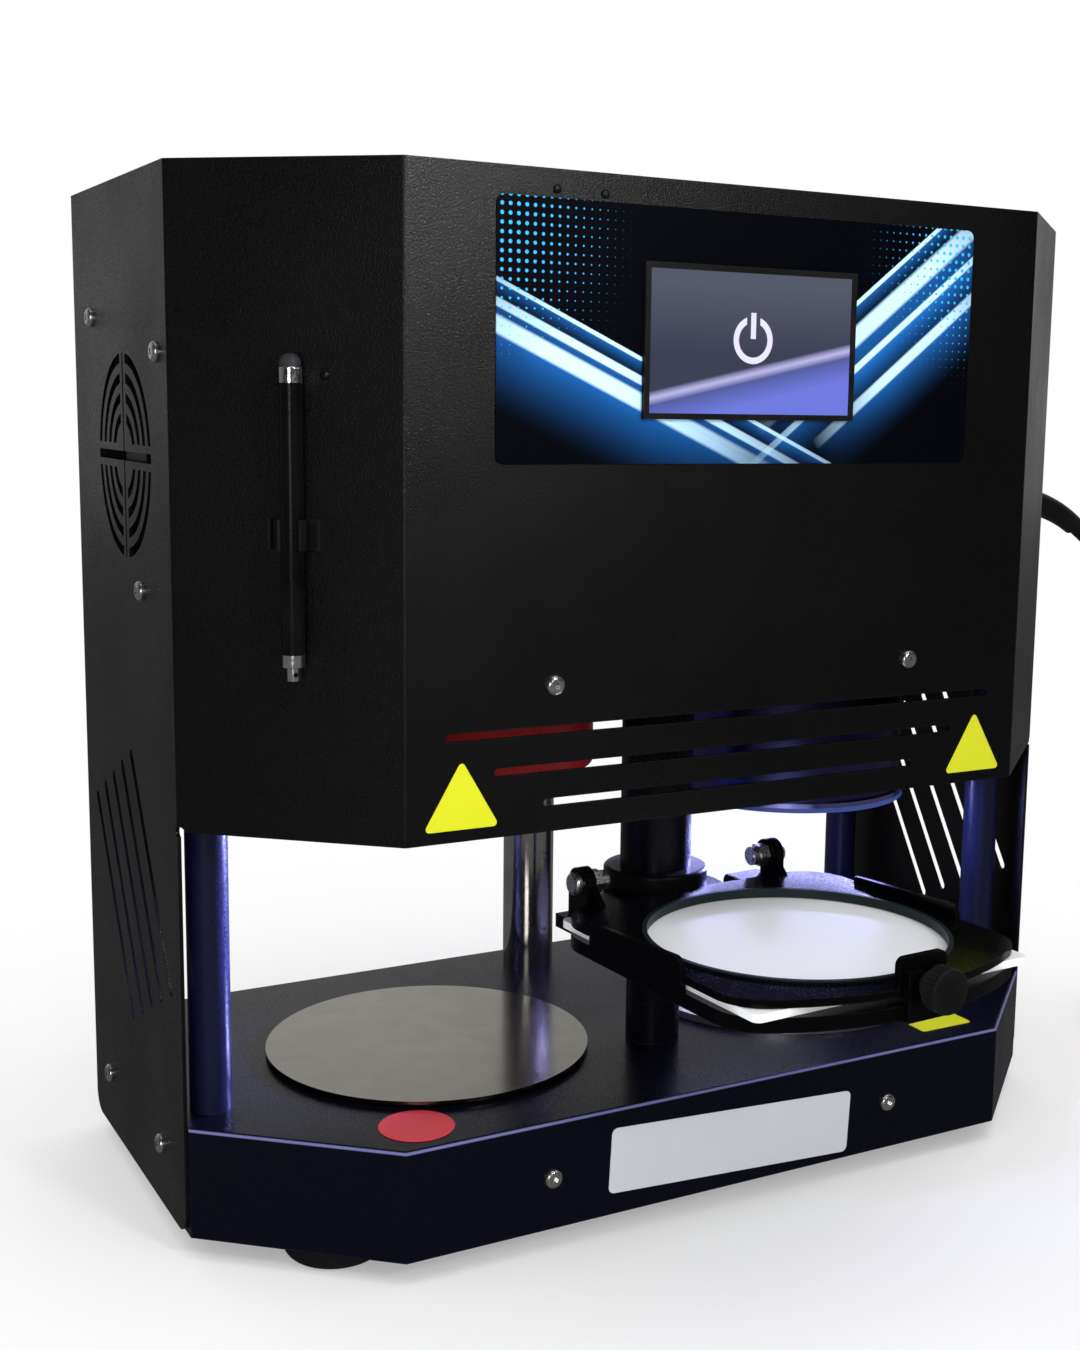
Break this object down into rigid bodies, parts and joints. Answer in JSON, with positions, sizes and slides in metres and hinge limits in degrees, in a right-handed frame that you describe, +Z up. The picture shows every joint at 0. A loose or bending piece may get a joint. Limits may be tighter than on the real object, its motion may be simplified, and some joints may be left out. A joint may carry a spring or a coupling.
{
  "type": "dental thermoforming machine",
  "caption": "Bench-top dental thermoforming machine: heater and moulding head over a swinging, lifting frame that clamps a plastic sheet, with touch screen and stylus.",
  "frame": {"origin": "middle of the footprint on the table, the housing and the carrier frame in front of it taken together", "axes": "+X to the machine's right as seen from the front, +Y from front to back, +Z up"},
  "size_m": [0.6175, 0.3187, 0.4025],
  "materials": {
    "case": "black powder coat with a fine grain",
    "cover": "black powder coat with a fine grain",
    "base": "black powder coat with a fine grain",
    "steel_sheet": "zinc plated sheet",
    "posts": "black satin coat on round bar",
    "duct": "bright chrome",
    "guide": "blackened ground steel",
    "rod": "ground steel rod",
    "collar": "black turned steel",
    "reflector": "satin stainless disc, turned",
    "table": "black anodised aluminium",
    "seal_dark": "slate silicone",
    "seal_blue": "blue silicone",
    "heater": "red stove enamel",
    "ceramic": "unglazed ceramic",
    "bell": "satin silver coat",
    "rim": "polished rim",
    "lamp": "violet glowing ring",
    "bezel": "black gloss frame",
    "glass": "lit touch display behind glass",
    "overlay": "printed membrane, blue light on black",
    "board": "green circuit board",
    "supply": "perforated metal box",
    "black_plastic": "moulded black plastic",
    "rocker": "glossy black rocker",
    "clip": "black moulded clip",
    "stylus_body": "black lacquered barrel",
    "stylus_chrome": "chrome",
    "stylus_rubber": "soft rubber dome",
    "frame_steel": "black satin coat on steel plate",
    "sheet": "white thermoforming sheet",
    "hardware": "bright steel fasteners",
    "knob": "knurled black knob",
    "gear": "hobbed steel",
    "carriage": "milled aluminium",
    "brass": "turned brass",
    "bearing": "bright bearing steel",
    "motor": "black painted motor",
    "feet": "black rubber",
    "lead": "black flexible PVC"
  },
  "bodies": {
    "housing": {"base_bottom": "base", "base_shell": "base", "case_screws": "hardware", "chassis_plate": "steel_sheet", "control_board": "board", "control_overlay": "overlay", "corner_posts": "posts", "fan_frame": "black_plastic", "front_casing": "case", "guide_post": "guide", "guide_rod": "rod", "head_rim": "rim", "head_seal": "seal_blue", "heat_reflector": "reflector", "heater_housing": "heater", "heater_plate": "ceramic", "lead_connector": "lead", "lead_plug": "lead", "lead_relief": "lead", "lift_bridge": "steel_sheet", "lift_motor": "motor", "moulding_head": "bell", "power_inlet": "black_plastic", "power_lead": "lead", "power_lead_coil": "lead", "power_supply": "supply", "rear_cover": "cover", "ring_lamp": "lamp", "rubber_feet": "feet", "screen_bezel": "bezel", "screen_glass": "glass", "stylus_clip": "clip", "table_seal": "seal_dark", "top_cover": "cover", "vacuum_duct": "duct", "vacuum_motor": "motor", "vacuum_table": "table"},
    "fan_rotor": {"fan_rotor": "black_plastic"},
    "stylus": {"stylus_barrel": "stylus_body", "stylus_metal": "stylus_chrome", "stylus_tip": "stylus_rubber"},
    "power_rocker": {"power_rocker": "rocker"},
    "lift_screw": {"lift_screw": "bearing"},
    "carriage": {"carriage": "carriage", "lift_nut": "brass", "swing_motor": "motor", "sleeve_bearing": "bearing"},
    "swing_pinion": {"swing_pinion": "gear"},
    "swing_arm": {"lift_sleeve": "guide", "swing_gear": "gear", "collar": "collar", "lower_frame": "frame_steel", "plastic_sheet": "sheet", "hinge_bolts": "hardware", "hinge_nuts": "hardware"},
    "upper_frame": {"upper_frame": "frame_steel", "seal_ring": "seal_dark", "clamp_stud": "hardware"},
    "clamp_knob": {"clamp_knob": "knob"}
  },
  "joints": [
    {"name": "carrier_lift", "type": "slide", "parent": "housing", "child": "carriage", "axis": [0, 0, 1], "range_m": [-0.055, 0.02]},
    {"name": "lift_screw_spin", "type": "hinge", "parent": "housing", "child": "lift_screw", "pos_m": [0.05, 0.02119, 0.3534], "axis": [0, 0, 1], "range_deg": [-2477, 902]},
    {"name": "carrier_swing", "type": "hinge", "parent": "carriage", "child": "swing_arm", "pos_m": [0, 0.02119, 0.1285], "axis": [0, 0, 1], "range_deg": [-114, 107.4]},
    {"name": "swing_pinion_spin", "type": "hinge", "parent": "carriage", "child": "swing_pinion", "pos_m": [-0.048, 0.02119, 0.2934], "axis": [0, 0, 1], "range_deg": [-323.2, 343]},
    {"name": "upper_frame_open", "type": "hinge", "parent": "swing_arm", "child": "upper_frame", "pos_m": [0.00104, 0.00322, 0.131], "axis": [0.9983, 0.0576, 0], "range_deg": [-38, 0]},
    {"name": "clamp_knob_turn", "type": "hinge", "parent": "upper_frame", "child": "clamp_knob", "pos_m": [0.00957, -0.14474, 0.1255], "axis": [0.0576, -0.9983, 0], "continuous": true},
    {"name": "stylus_slide", "type": "slide", "parent": "housing", "child": "stylus", "axis": [0, 0, 1], "range_m": [-0.04, 0.058]},
    {"name": "fan_spin", "type": "hinge", "parent": "housing", "child": "fan_rotor", "pos_m": [-0.191, 0.07969, 0.299], "axis": [1, 0, 0], "continuous": true},
    {"name": "power_switch", "type": "hinge", "parent": "housing", "child": "power_rocker", "pos_m": [0.2, 0.08719, 0.3], "axis": [0, 1, 0], "range_deg": [0, 14]}
  ],
  "couplings": [
    {"joint": "lift_screw_spin", "follows": "carrier_lift", "rad_per_m": 785.4},
    {"joint": "swing_pinion_spin", "follows": "carrier_swing", "ratio": -3}
  ]
}
